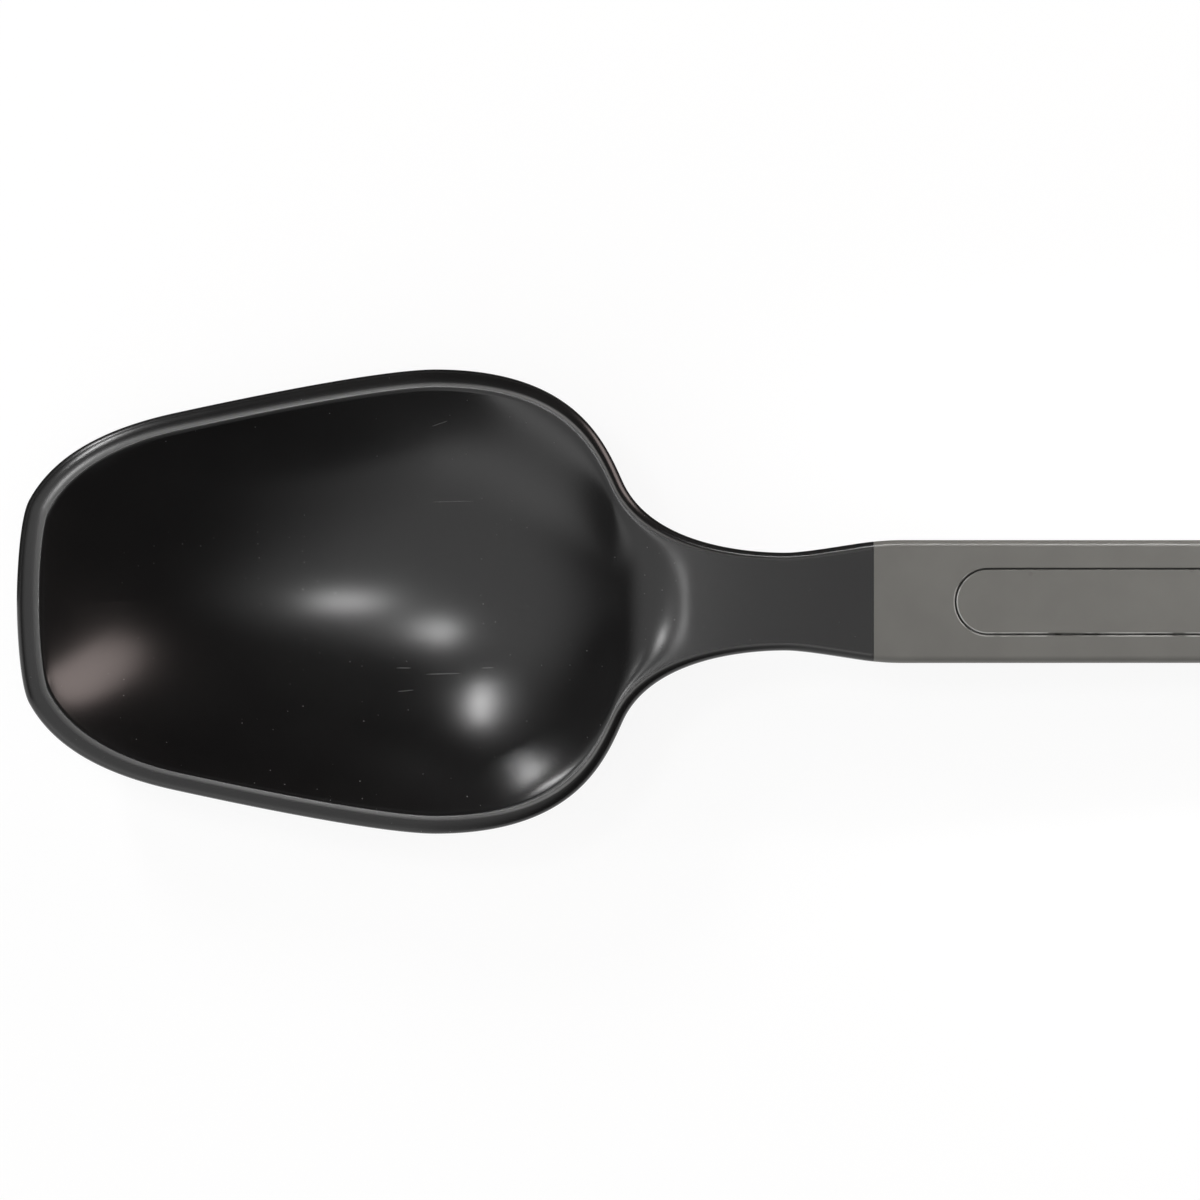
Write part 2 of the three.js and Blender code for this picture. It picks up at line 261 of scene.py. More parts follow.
def band_foot(x):
    band = mix(RIM_BAND, thickness_at(x) - 2 * EDGE_ROUND, neck_share(x))
    return crest_level(x) - rim_height(x) - band


def bowl_section(share, round_share):
    """Section of a bowl: 1 in the middle, 0 at the edge."""
    square = np.minimum(1, share * share)
    return np.maximum(0, 1 - round_share * square - (1 - round_share) * square * square)


def quarter_round(share):
    return np.sqrt(np.maximum(0, 1 - (1 - np.clip(share, 0, 1)) ** 2))


TABLE_STEPS = 300
OUTLINE_RUNS = len(OUTLINE) - 2
EDGE_TABLE, EDGE_INWARD = curve_through(OUTLINE, (TABLE_STEPS,) * OUTLINE_RUNS)
CREST_TABLE = EDGE_TABLE + EDGE_INWARD * rim_width(EDGE_TABLE[:, :1])
FLOOR_TABLE, _ = curve_through(FLOOR, (TABLE_STEPS,) * (len(FLOOR) - 1))
UNDER_TABLE, _ = curve_through(UNDERSIDE, (TABLE_STEPS,) * (len(UNDERSIDE) - 1))


def read_off(table, x):
    return np.interp(x, table[:, 0], table[:, 1])


def underside_level(x):
    depth = np.where(x < UNDER_BACK_X, read_off(UNDER_TABLE, x), thickness_at(x))
    return crest_level(x) - depth


def inner_level(point, level_x):
    half = np.maximum(read_off(CREST_TABLE, point[:, 0]), TINY)
    ease = 1 + smoothstep(point[:, 0], WIDEST_X, BACK_X)
    section = bowl_section(np.abs(point[:, 1]) / half, INNER_ROUND_SHARE) ** ease
    return crest_level(level_x) - read_off(FLOOR_TABLE, point[:, 0]) * section


def outer_level(point, from_edge):
    half = np.maximum(read_off(EDGE_TABLE, point[:, 0]), TINY)
    foot = band_foot(point[:, 0])
    bowl = bowl_section(np.abs(point[:, 1]) / half, OUTER_ROUND_SHARE)
    fall = mix(bowl, quarter_round(from_edge / EDGE_ROUND), neck_share(point[:, 0]))
    return foot - (foot - underside_level(point[:, 0])) * fall


def unit(vectors):
    lengths = np.linalg.norm(vectors, axis=1)
    return vectors / np.maximum(lengths, TINY)[:, None], lengths


def section_lines(edge, inward, spine):
    """Lines round the head's section: from the middle of its top, over the rim, to under its middle."""
    rim = rim_width(edge[:, 0])
    crest = edge + inward * rim[:, None]
    towards, reach = unit(spine - crest)
    columns = []

    def add_column(plan, level):
        columns.append(np.column_stack((plan, level)))

    floor_shares = np.linspace(1, 0, FLOOR_STEPS, endpoint=False)
    ring_shares = np.linspace(1, 0, INNER_ROUND_STEPS, endpoint=False)
    floor = [mix(RIM_ROUND, reach, share) for share in floor_shares]
    ring = [np.full_like(reach, share * RIM_ROUND) for share in ring_shares]
    for distance in floor + ring:
        shift = 0.5 * RIM_ROUND * (1 - distance / reach)
        rounded = 0.5 * distance**2 / RIM_ROUND
        eased = np.where(distance < RIM_ROUND, rounded, distance - shift)
        plan = crest + towards * distance[:, None]
        source = crest + towards * np.minimum(eased, reach)[:, None]
        add_column(plan, inner_level(source, plan[:, 0]))

    for angle in np.linspace(math.pi / 2, 0, RIM_STEPS + 1):
        from_edge = rim * (1 - math.cos(angle))
        plan = edge + inward * from_edge[:, None]
        drop = rim_height(edge[:, 0]) * (1 - math.sin(angle))
        add_column(plan, crest_level(plan[:, 0]) - drop)

    across, span = unit(spine - edge)
    angles = np.linspace(0, math.pi / 2, RIM_STEPS + 1)
    rounding = [np.full_like(span, EDGE_ROUND * (1 - math.cos(angle))) for angle in angles]
    under = [mix(EDGE_ROUND, span, share) for share in np.linspace(0, 1, UNDER_STEPS + 1)[1:]]
    for from_edge in rounding + under:
        plan = edge + across * from_edge[:, None]
        add_column(plan, outer_level(plan, from_edge))
    return np.stack(columns, axis=1)


def head_lines():
    """Section lines of the whole head, from the seam on one side, round the tip, to the other side."""
    edge, inward = curve_through(OUTLINE, RUN_STEPS)
    inward[-RUN_STEPS[FLARE_RUN]:] = (0, -1)
    index = np.arange(len(edge))
    widest = np.argmax(edge[:, 0] >= WIDEST_X)
    fan = mix(DEEPEST_X * FAN_SHARE, WIDEST_X, (index / widest) ** FAN_EASE)
    spine = np.column_stack((np.where(index < widest, fan, edge[:, 0]), np.zeros(len(edge))))
    side = section_lines(edge, inward, spine)
    mirrored = side[:0:-1] * (1, -1, 1)
    return np.concatenate((mirrored, side))


# Laying: the frame's mount is at the middle of the grip's underside, and its axis points out of that face
mount = frame["record"]["mounts"][0]
tilt = math.atan2(-mount["axis"][0], -mount["axis"][2])
drawn_mount = Vector((SEAM_X + GRIP_LENGTH / 2, 0, -GRIP_THICKNESS)) * MM
LAID = Matrix.Translation(mount["pos_m"]) @ Matrix.Rotation(tilt, 4, "Y") @ Matrix.Translation(-drawn_mount)


def laid_point(x, y, z):
    return LAID @ (Vector((x, y, z)) * MM)


def piece_from(name, bm):
    """A new object from a closed mesh drawn in millimetres, laid in the frame."""
    bmesh.ops.remove_doubles(bm, verts=bm.verts, dist=MERGE_WITHIN)
    bmesh.ops.recalc_face_normals(bm, faces=bm.faces)
    mesh = bpy.data.meshes.new(name)
    bm.to_mesh(mesh)
    bm.free()
    mesh.transform(LAID @ Matrix.Scale(MM, 4))
    piece = bpy.data.objects.new(name, mesh)
    bpy.context.scene.collection.objects.link(piece)
    return piece


def add_rings(bm, rings, first_cap=True, last_cap=True):
    """Closed rings of points, joined one to the next, with flat ends where asked."""
    made = [[bm.verts.new(point) for point in ring] for ring in rings]
    count = len(made[0])
    for lower, upper in zip(made, made[1:]):
        for i in range(count):
            j = (i + 1) % count
            bm.faces.new((lower[i], lower[j], upper[j], upper[i]))
    if first_cap:
        bm.faces.new(made[0])
    if last_cap:
        bm.faces.new(made[-1])


def cut_away(piece, cutters):
    """Cuts the other pieces out of this one and deletes them."""
    for cutter in cutters:
        cut = piece.modifiers.new(cutter.name, "BOOLEAN")
        cut.operation = "DIFFERENCE"
        cut.solver = "EXACT"
        cut.object = cutter
    bpy.context.view_layer.update()
    graph = bpy.context.evaluated_depsgraph_get()
    mesh = bpy.data.meshes.new_from_object(piece.evaluated_get(graph))
    piece.modifiers.clear()
    piece.data = mesh
    mesh.name = piece.name
    for cutter in cutters:
        bpy.data.objects.remove(cutter)


def rod(name, x, radius, bottom, top):
    angles = np.linspace(0, 2 * math.pi, ARC_STEPS, endpoint=False)
    circle = [(x + radius * math.cos(angle), radius * math.sin(angle)) for angle in angles]
    bm = bmesh.new()
    add_rings(bm, [[(*point, z) for point in circle] for z in (bottom, top)])
    return piece_from(name, bm)


def tang_rings(seam_ring):
    """The seam's section drawn in to the tang's, and the tang's sections up to its rounded end."""
    half = np.array((TANG_WIDTH / 2, TANG_THICKNESS / 2))
    middle = np.array((0, (TANG_TOP + TANG_BOTTOM) / 2))
    offset = seam_ring[:, 1:] - middle
    section = offset / np.max(np.abs(offset) / half, axis=1, keepdims=True)
    stops = [(SEAM_X, 1.0)]
    end = SEAM_X + TANG_LENGTH - TANG_END_ROUND
    for angle in np.linspace(0, math.pi / 2, LIP_STEPS + 1):
        narrowed = half[0] - TANG_END_ROUND * (1 - math.cos(angle))
        stops.append((end + TANG_END_ROUND * math.sin(angle), narrowed / half[0]))
    rings = [seam_ring]
    for x, share in stops:
        rings.append(np.column_stack((np.full(len(section), x), section * (share, 1) + middle)))
    return rings


def painted_crest_highlight(lines):
    """How strongly the painted highlight lies on the rim at each point: most on its crest, and hardly on
    the neck.
    """
    crest = FLOOR_STEPS + INNER_ROUND_STEPS
    inside = np.arange(lines.shape[1]) < crest
    from_crest = np.linalg.norm(lines - lines[:, crest:crest + 1], axis=2)
    off = from_crest * np.where(inside, 1, -1) + CREST_HIGHLIGHT_SHIFT
    painted_highlight = np.exp(-((off / np.where(off > 0, CREST_HIGHLIGHT_INSIDE, CREST_HIGHLIGHT_OUTSIDE)) ** 2))
    painted_highlight[:, crest + RIM_STEPS + 1:] = 0
    return painted_highlight * (1 - CREST_HIGHLIGHT_NECK_LOSS * neck_share(lines[:, :, 0]))


def make_head():
    lines = head_lines()
    rows, columns, _ = lines.shape
    bm = bmesh.new()
    # Each point stores how strongly the painted highlight on the rim's crest lies there
    highlight_layer = bm.verts.layers.float.new("painted_highlight")
    grid = [[bm.verts.new(point) for point in line] for line in lines]
    for line, highlights in zip(grid, painted_crest_highlight(lines)):
        for vert, painted_highlight in zip(line, highlights):
            vert[highlight_layer] = painted_highlight
    for row in range(rows - 1):
        for column in range(columns - 1):
            near, far = grid[row], grid[row + 1]
            corners = (near[column], far[column], far[column + 1], near[column + 1])
            bm.faces.new(corners)
    seam_ring = np.concatenate((lines[-1], lines[0][-2:0:-1]))
    add_rings(bm, tang_rings(seam_ring), first_cap=False)
    head = piece_from("head", bm)
    radius = PIN_RADIUS + FIT_GAP
    bottom, top = TANG_BOTTOM - HOLE_OVERRUN, TANG_TOP + HOLE_OVERRUN
    holes = [rod(f"hole_{index}", x, radius, bottom, top) for index, x in enumerate(PIN_XS)]
    cut_away(head, holes)
    return head


def grip_half_outline():
    """One side of the grip from the seam to the middle of its end, with inward directions."""
    half = GRIP_WIDTH / 2
    ramp, tangents = run_curve(OUTLINE[-2], OUTLINE[-1], EDGE_STEPS)
    ramp[0, 0] += SEAM_HAIR
    inward = np.column_stack((tangents[:, 1], -tangents[:, 0]))
    inward[0] = (0, -1)
    angles = np.linspace(math.pi / 2, 0, ARC_STEPS // 2 + 1)
    rays = np.column_stack((np.cos(angles), np.sin(angles)))
    corner = np.array((GRIP_END_X - GRIP_END_CORNER, half - GRIP_END_CORNER)) + GRIP_END_CORNER * rays
    points = np.vstack((ramp, corner, ((GRIP_END_X, 0),)))
    return points, np.vstack((inward, -rays, ((-1, 0),)))


def grip_bar():
    points, inward = grip_half_outline()
    points = np.vstack((points, points[-2::-1] * (1, -1)))
    inward = np.vstack((inward, inward[-2::-1] * (1, -1)))
    levels = []
    for angle in np.linspace(0, math.pi / 2, EDGE_STEPS + 1):
        levels.append((EDGE_ROUND * (1 - math.sin(angle)), EDGE_ROUND * (1 - math.cos(angle))))
    insets = [(inset, rise - GRIP_THICKNESS) for inset, rise in levels]
    insets += [(inset, -rise) for inset, rise in reversed(levels)]
    rings = []
    for inset, z in insets:
        rings.append(np.column_stack((points + inward * inset, np.full(len(points), z))))
    bm = bmesh.new()
    add_rings(bm, rings)
    return piece_from("grip", bm)


def strip_loop(from_x, length, width):
    """Points round a strip along X with round ends, and their outward directions."""
    radius = width / 2
    near, far = from_x + radius, from_x + length - radius
    count = max(1, round((far - near) / STRIP_STEP))
    straight = np.linspace(near, far, count + 1)[1:-1]
    turn = np.linspace(-math.pi / 2, math.pi / 2, ARC_STEPS + 1)
    round_end = np.column_stack((np.cos(turn), np.sin(turn)))
    flat = np.zeros_like(straight)
    outward = np.vstack((
        np.column_stack((flat, flat - 1)),
        round_end,
        np.column_stack((flat, flat + 1)),
        -round_end,
    ))
    far_end, near_end = np.full(len(turn), far), np.full(len(turn), near)
    centres = np.concatenate((straight, far_end, straight[::-1], near_end))
    return np.column_stack((centres, np.zeros_like(centres))) + outward * radius, outward


def lip_radius(points):
    """Radius of the lips of the groove: softer round the front and along one side, and uneven there."""
    x, y = points[:, 0], points[:, 1]
    quick, slow = (np.sin(x * rate + start) for rate, start in LIP_WAVES)
    side = smoothstep(-y, *LIP_SIDE_REACH)
    front_from, front_to = LIP_FRONT_REACH
    front = smoothstep(-x, -INLAY_X - front_from, -INLAY_X - front_to)
    return LIP_LEAST + np.maximum(side * (LIP_SIDE + LIP_WAVE * quick * slow), LIP_FRONT * front)


def strip_cutter(name, loop, bottom, lips, through=False):
    """A cutter for a strip-shaped opening, flared where it meets the grip's faces."""
    points, outward = loop
    lips = np.broadcast_to(lips, len(points))[:, None]

    def ring(offset, z):
        return np.column_stack((points + outward * offset, np.broadcast_to(z, (len(points), 1))))

    angles = np.linspace(0, math.pi / 2, LIP_STEPS + 1)
    flare = [(lips * (1 - math.sin(a)), CUT_LEAD - lips * (1 - math.cos(a))) for a in angles]
    rings = [ring(lips, CUT_REACH)] + [ring(offset, z) for offset, z in flare]
    if through:
        rings += [ring(offset, -GRIP_THICKNESS - z) for offset, z in reversed(flare)]
        rings.append(ring(lips, bottom))
    else:
        rings.append(ring(0, bottom))
    bm = bmesh.new()
    add_rings(bm, rings)
    return piece_from(name, bm)


def socket_cutter():
    half = TANG_WIDTH / 2 + FIT_GAP
    end = SEAM_X + TANG_LENGTH + FIT_GAP
    start = SEAM_X - EDGE_ROUND
    corners = [(start, -half), (end, -half), (end, half), (start, half)]
    bm = bmesh.new()
    levels = (TANG_BOTTOM - FIT_GAP, TANG_TOP + FIT_GAP)
    add_rings(bm, [[(x, y, z) for x, y in corners] for z in levels])
    return piece_from("socket", bm)


def make_grip():
    grip = grip_bar()
    pocket = strip_loop(INLAY_X - FIT_GAP, INLAY_LENGTH + 2 * FIT_GAP, INLAY_WIDTH + 2 * FIT_GAP)
    slot = strip_loop(SLOT_X, SLOT_LENGTH, SLOT_WIDTH)
    cutters = [
        socket_cutter(),
        strip_cutter("pocket", pocket, POCKET_FLOOR, lip_radius(pocket[0])),
        strip_cutter("slot", slot, -GRIP_THICKNESS - CUT_REACH, SLOT_LIP, through=True),
    ]
    radius = PIN_RADIUS + FIT_GAP
    for index, x in enumerate(PIN_XS):
        cutters.append(rod(f"pin_hole_{index}", x, radius, PIN_HOLE_FLOOR, POCKET_FLOOR + HOLE_OVERRUN))
    cut_away(grip, cutters)
    return grip


def make_inlay():
    points, outward = strip_loop(INLAY_X, INLAY_LENGTH, INLAY_WIDTH)
    lips = lip_radius(points)[:, None]
    rings = [np.column_stack((points, np.full(len(points), -INLAY_THICKNESS)))]
    for angle in np.linspace(0, math.pi / 2, LIP_STEPS + 1):
        plan = points - outward * lips * (1 - math.cos(angle))
        rings.append(np.column_stack((plan, -lips * (1 - math.sin(angle)))))
    bm = bmesh.new()
    add_rings(bm, rings)
    return piece_from("inlay", bm)


def finish_surface(piece, sharp_degrees):
    """Smooth shading, with sharp edges kept and flat faces kept flat."""
    piece.data.shade_smooth()
    piece.data.set_sharp_from_angle(angle=math.radians(sharp_degrees))
    weighted = piece.modifiers.new("weighted_normals", "WEIGHTED_NORMAL")
    weighted.keep_sharp = True


# Noises: scale per metre and detail
NYLON_CLOUDS = (55.0, 3.0)
NYLON_GRAIN = (2400.0, 2.0)
NYLON_PATCHES = (38.0, 1.0)
GREY_CLOUDS = (140.0, 4.0)
GREY_GRAIN = (3200.0, 3.0)
GREY_UNEVEN = (260.0, 1.0)
STEEL_GRAIN = (4000.0, 2.0)

# Limits under and over which a noise counts as none and all
CLOUD_EDGE = (0.3, 0.7)
PATCH_EDGE = (0.45, 0.65)
# The painted crest highlight follows the clouds between these limits
CREST_HIGHLIGHT_EDGE = (0.2, 0.8)
TINT_EDGE = (0.25, 0.75)
UNEVEN_EDGE = (0.35, 0.5)

# Specks: cells per metre, the chance that a cell holds one, and its size as a share of a cell
NYLON_SPECKS = (430.0, 0.22, 0.03)
GREY_SPECKS = (160.0, 0.1, 0.05)
SPECK_LEAST = 0.4

# Colours are linear, pairs are the two ends of a variation, and lengths are in metres
NYLON_TINTS = ((0.0068, 0.0065, 0.0066, 1), (0.009, 0.0087, 0.0086, 1))
# Pale colour of the painted highlight along the rim's crest
NYLON_CREST_HIGHLIGHT = (0.31, 0.31, 0.305, 1)
NYLON_DUST = (0.1, 0.1, 0.097, 1)
NYLON_ROUGHNESS = (0.23, 0.255)
NYLON_BUMP = 1.8e-6
DUST_ROUGHNESS = 0.25
# How strong the painted crest highlight is, from the low to the high end of the clouds
CREST_HIGHLIGHT_RANGE = (0.75, 1.0)
SCRATCH_WIDTH = 0.00012
SCRATCH_SHARE = 0.6
SCRATCH_DEPTH = 2.0
SCRATCH_FADES = (0.25, 0.6)
GREY_TINTS = ((0.12, 0.1175, 0.1075, 1), (0.133, 0.1305, 0.1195, 1))
GREY_DUST = (0.07, 0.065, 0.06, 1)
GREY_DUST_SHARE = 0.3
# Pale colour of the painted highlight on the groove's lips, and how much of it is mixed in
GREY_LIP_HIGHLIGHT = (0.4, 0.4, 0.385, 1)
GREY_HIGHLIGHT_SHARE = 0.9
GREY_ROUGHNESS = (0.29, 0.34)
GREY_BUMP = 3e-6
# Reach of the painted lip highlight from the middle of the groove, and where it starts along the side and
# round the front
GROOVE_HIGHLIGHT_REACH = (0.00042, 0.0002)
GROOVE_HIGHLIGHT_SIDE = (0.001, -0.003)
GROOVE_HIGHLIGHT_FRONT = 0.003
STEEL = (0.32, 0.33, 0.33, 1)
STEEL_ROUGHNESS = (0.28, 0.42)

# Angles in degrees over which an edge stays sharp
HEAD_SHARP = 40
GRIP_SHARP = 30

# Scratches in the bowl, each from one place of the drawing to another
SCRATCHES = (
    ((63.6, 15.6), (71.1, 15.7)),
    ((63.9, 27.2), (66.9, 28.2)),
    ((58.1, -10.4), (61.0, -10.4)),
    ((62.6, -11.4), (69.2, -11.2)),
    ((71.6, -10.4), (74.0, -10.3)),
    ((58.4, -14.1), (61.4, -13.8)),
)

# Sockets of the colour mix node, by number, because several share a name
MIX_SHARE, MIX_A, MIX_B, MIX_RESULT = 0, 6, 7, 2


def put(tree, socket, value):
    if isinstance(value, bpy.types.NodeSocket):
        tree.links.new(value, socket)
    else:
        socket.default_value = value


def add(tree, kind, inputs=None, **settings):
    made = tree.nodes.new(kind)
    for key, value in settings.items():
        setattr(made, key, value)
    for key, value in (inputs or {}).items():
        put(tree, made.inputs[key], value)
    return made


def math_of(tree, operation, *values):
    made = add(tree, "ShaderNodeMath", dict(enumerate(values)), operation=operation)
    return made.outputs[0]


def ramp(tree, value, low, high, to_low=0.0, to_high=1.0):
    """A smooth step of a value between two limits."""
    inputs = {"Value": value, "From Min": low, "From Max": high, "To Min": to_low, "To Max": to_high}
    return add(tree, "ShaderNodeMapRange", inputs, interpolation_type="SMOOTHSTEP").outputs["Result"]


def noise_of(tree, coords, scale, detail):
    inputs = {"Vector": coords, "Scale": scale, "Detail": detail}
    return add(tree, "ShaderNodeTexNoise", inputs).outputs["Fac"]


def colour_mix(tree, share, a, b):
    inputs = {MIX_SHARE: share, MIX_A: a, MIX_B: b}
    return add(tree, "ShaderNodeMix", inputs, data_type="RGBA").outputs[MIX_RESULT]


def new_material(name):
    material = bpy.data.materials.new(name)
    material.use_nodes = True
    tree = material.node_tree
    coords = add(tree, "ShaderNodeTexCoord").outputs["Object"]
    return material, tree, tree.nodes["Principled BSDF"], coords


def dust(tree, coords, per_metre, chance, size):
    """Scattered specks: a few cells of a grid hold one each."""
    inputs = {"Vector": coords, "Scale": per_metre, "Randomness": 1.0}
    cells = add(tree, "ShaderNodeTexVoronoi", inputs, voronoi_dimensions="2D")
    picked = add(tree, "ShaderNodeSeparateColor", {"Color": cells.outputs["Color"]})
    kept = math_of(tree, "GREATER_THAN", picked.outputs["Red"], 1 - chance)
    reach = math_of(tree, "MULTIPLY_ADD", picked.outputs["Green"], size, size * SPECK_LEAST)
    near = math_of(tree, "LESS_THAN", cells.outputs["Distance"], reach)
    return math_of(tree, "MULTIPLY", kept, near)


def scratch(tree, coords, start, end):
    """A fine scratch between two places of the drawing, fading out at its ends."""
    a, b = laid_point(*start, 0), laid_point(*end, 0)
    along = (b - a).to_2d()
    length = along.length
    along /= length
    plan = add(tree, "ShaderNodeSeparateXYZ", {"Vector": coords})
    dx = math_of(tree, "SUBTRACT", plan.outputs["X"], a.x)
    dy = math_of(tree, "SUBTRACT", plan.outputs["Y"], a.y)
    run = math_of(tree, "MULTIPLY_ADD", dx, along.x, math_of(tree, "MULTIPLY", dy, along.y))
    off = math_of(tree, "MULTIPLY_ADD", dx, -along.y, math_of(tree, "MULTIPLY", dy, along.x))
    line = ramp(tree, math_of(tree, "ABSOLUTE", off), SCRATCH_WIDTH, 0.0)
    share = math_of(tree, "DIVIDE", run, length)
    fade_in = ramp(tree, share, 0.0, SCRATCH_FADES[0])
    fade_out = ramp(tree, share, 1.0, SCRATCH_FADES[1])
    return math_of(tree, "MULTIPLY", line, math_of(tree, "MULTIPLY", fade_in, fade_out))


def black_nylon():
    """Satin black, with faint clouds, a fine grain, dust, scratches and a painted highlight along the crest
    of the rim.
    """
    material, tree, shader, coords = new_material("black_nylon")
    clouds = noise_of(tree, coords, *NYLON_CLOUDS)
    grain = noise_of(tree, coords, *NYLON_GRAIN)
    patches = ramp(tree, noise_of(tree, coords, *NYLON_PATCHES), *PATCH_EDGE)
    specks = math_of(tree, "MULTIPLY", dust(tree, coords, *NYLON_SPECKS), patches)
    marks = None
    for start, end in SCRATCHES:
        one = scratch(tree, coords, start, end)
        marks = one if marks is None else math_of(tree, "MAXIMUM", marks, one)
    pale = math_of(tree, "MAXIMUM", specks, math_of(tree, "MULTIPLY", marks, SCRATCH_SHARE))
    # A painted highlight: the pale colour mixed in along the rim's crest
    crest = add(tree, "ShaderNodeAttribute", attribute_name="painted_highlight").outputs["Fac"]
    highlight_mask = math_of(tree, "MULTIPLY", crest, ramp(tree, clouds, *CREST_HIGHLIGHT_EDGE, *CREST_HIGHLIGHT_RANGE))
    tinted = colour_mix(tree, ramp(tree, clouds, *CLOUD_EDGE), *NYLON_TINTS)
    highlighted_tint = colour_mix(tree, highlight_mask, tinted, NYLON_CREST_HIGHLIGHT)
    put(tree, shader.inputs["Base Color"], colour_mix(tree, pale, highlighted_tint, NYLON_DUST))
    satin = ramp(tree, clouds, *CLOUD_EDGE, *NYLON_ROUGHNESS)
    put(tree, shader.inputs["Roughness"], math_of(tree, "MULTIPLY_ADD", pale, DUST_ROUGHNESS, satin))
    height = math_of(tree, "MULTIPLY_ADD", marks, -SCRATCH_DEPTH, grain)
    bump = add(tree, "ShaderNodeBump", {"Strength": 1.0, "Distance": NYLON_BUMP, "Height": height})
    put(tree, shader.inputs["Normal"], bump.outputs["Normal"])
    return material


def groove_distance(tree, coords):
    """Distance from the middle of the groove round the inlay, and the place's coordinates."""
    near = laid_point(INLAY_X + INLAY_WIDTH / 2, 0, 0).x
    far = laid_point(INLAY_X + INLAY_LENGTH - INLAY_WIDTH / 2, 0, 0).x
    plan = add(tree, "ShaderNodeSeparateXYZ", {"Vector": coords})
    off_middle = math_of(tree, "SUBTRACT", plan.outputs["X"], (near + far) / 2)
    from_middle = math_of(tree, "ABSOLUTE", off_middle)
    past = math_of(tree, "MAXIMUM", math_of(tree, "SUBTRACT", from_middle, (far - near) / 2), 0.0)
    across = math_of(tree, "MULTIPLY", plan.outputs["Y"], plan.outputs["Y"])
    radius = math_of(tree, "SQRT", math_of(tree, "MULTIPLY_ADD", past, past, across))
    groove_radius = (INLAY_WIDTH + FIT_GAP) / 2 * MM
    return math_of(tree, "ABSOLUTE", math_of(tree, "SUBTRACT", radius, groove_radius)), plan


def grey_grip(name):
    """Matt grey, with faint clouds, a fine grain, some dust and an uneven painted highlight on the groove's
    lips along one side and round the front.
    """
    material, tree, shader, coords = new_material(name)
    clouds = noise_of(tree, coords, *GREY_CLOUDS)
    grain = noise_of(tree, coords, *GREY_GRAIN)
    specks = dust(tree, coords, *GREY_SPECKS)
    distance, plan = groove_distance(tree, coords)
    # A painted highlight on the groove's lips, along one side and round the front, broken up by noise
    highlight_mask = ramp(tree, distance, *GROOVE_HIGHLIGHT_REACH)
    side = ramp(tree, plan.outputs["Y"], *GROOVE_HIGHLIGHT_SIDE)
    front_from, front_to = laid_point(INLAY_X + GROOVE_HIGHLIGHT_FRONT / MM, 0, 0).x, laid_point(INLAY_X, 0, 0).x
    front = ramp(tree, plan.outputs["X"], front_from, front_to)
    uneven = ramp(tree, noise_of(tree, coords, *GREY_UNEVEN), *UNEVEN_EDGE)
    placed = math_of(tree, "MULTIPLY", math_of(tree, "MAXIMUM", side, front), uneven)
    lip_highlight = math_of(tree, "MULTIPLY", highlight_mask, placed)
    tinted = colour_mix(tree, ramp(tree, clouds, *TINT_EDGE), *GREY_TINTS)
    dusty = colour_mix(tree, math_of(tree, "MULTIPLY", specks, GREY_DUST_SHARE), tinted, GREY_DUST)
    highlighted_colour = colour_mix(tree, math_of(tree, "MULTIPLY", lip_highlight, GREY_HIGHLIGHT_SHARE), dusty, GREY_LIP_HIGHLIGHT)
    put(tree, shader.inputs["Base Color"], highlighted_colour)
    put(tree, shader.inputs["Roughness"], ramp(tree, clouds, *CLOUD_EDGE, *GREY_ROUGHNESS))
    bump = add(tree, "ShaderNodeBump", {"Strength": 1.0, "Distance": GREY_BUMP, "Height": grain})
    put(tree, shader.inputs["Normal"], bump.outputs["Normal"])
    return material


def pin_steel():
    material, tree, shader, coords = new_material("pin_steel")
    turned = noise_of(tree, coords, *STEEL_GRAIN)
    shader.inputs["Base Color"].default_value = STEEL
    shader.inputs["Metallic"].default_value = 1.0
    put(tree, shader.inputs["Roughness"], ramp(tree, turned, *CLOUD_EDGE, *STEEL_ROUGHNESS))
    return material


def dress(piece, material, nodes, sharp_degrees):
    piece.data.materials.clear()
    piece.data.materials.append(material)
    finish_surface(piece, sharp_degrees)
    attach(piece, "root")
    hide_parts(*nodes)


dress(make_head(), black_nylon(), ("spoon_head",), HEAD_SHARP)
dress(make_grip(), grey_grip("grey_grip"), ("grip_sleeve",), GRIP_SHARP)
dress(make_inlay(), grey_grip("grey_inlay"), ("grip_inlay",), GRIP_SHARP)
steel = pin_steel()
for pin in ("tang_pin_front", "tang_pin_rear"):
    materials = frame["nodes"][pin].data.materials
    materials.clear()
    materials.append(steel)


# Stage
FLOOR_REACH = 30.0
FLOOR_GLOW = 0.88
FLOOR_SHADE = 0.14
FLOOR_COLOUR = 0.8
CARD_NEAR = 0.0
CARD_FAR = 1.0
CARD_HALF_LENGTH = 0.6
CARD_LEVEL = 0.0005
CARD_COLOUR = (0.01, 0.01, 0.01, 1)


